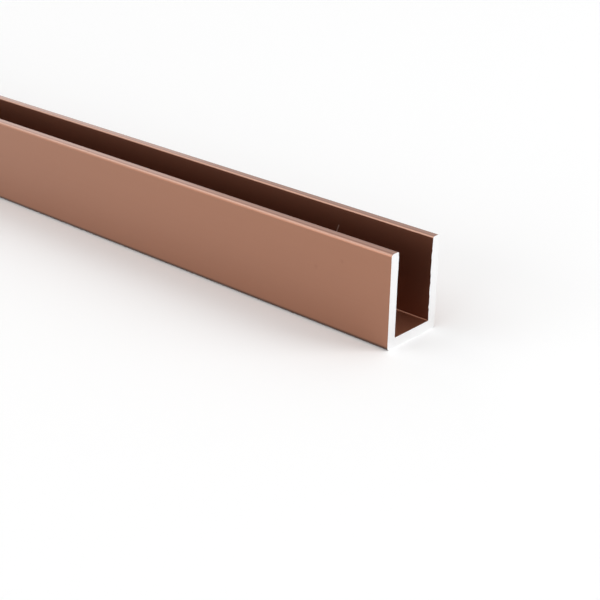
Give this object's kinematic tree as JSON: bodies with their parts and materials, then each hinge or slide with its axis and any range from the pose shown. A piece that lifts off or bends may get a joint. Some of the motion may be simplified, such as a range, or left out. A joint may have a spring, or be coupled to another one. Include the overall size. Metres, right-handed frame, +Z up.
{
  "type": "aluminium u-channel extrusion",
  "caption": "Straight bar of U-shaped aluminium channel with square section, rounded edges and saw-cut ends, used to edge or hold a panel.",
  "frame": {"origin": "underside of the web, at mid length and midway between the flanges", "axes": "+X along the length, +Y across the channel, +Z up out of the open side"},
  "size_m": [1, 0.0142, 0.0191],
  "materials": {
    "bronze_anodised": "satin bronze anodised, bare bright aluminium on the two saw cuts"
  },
  "bodies": {
    "root": {"u_channel": "bronze_anodised"}
  },
  "joints": []
}
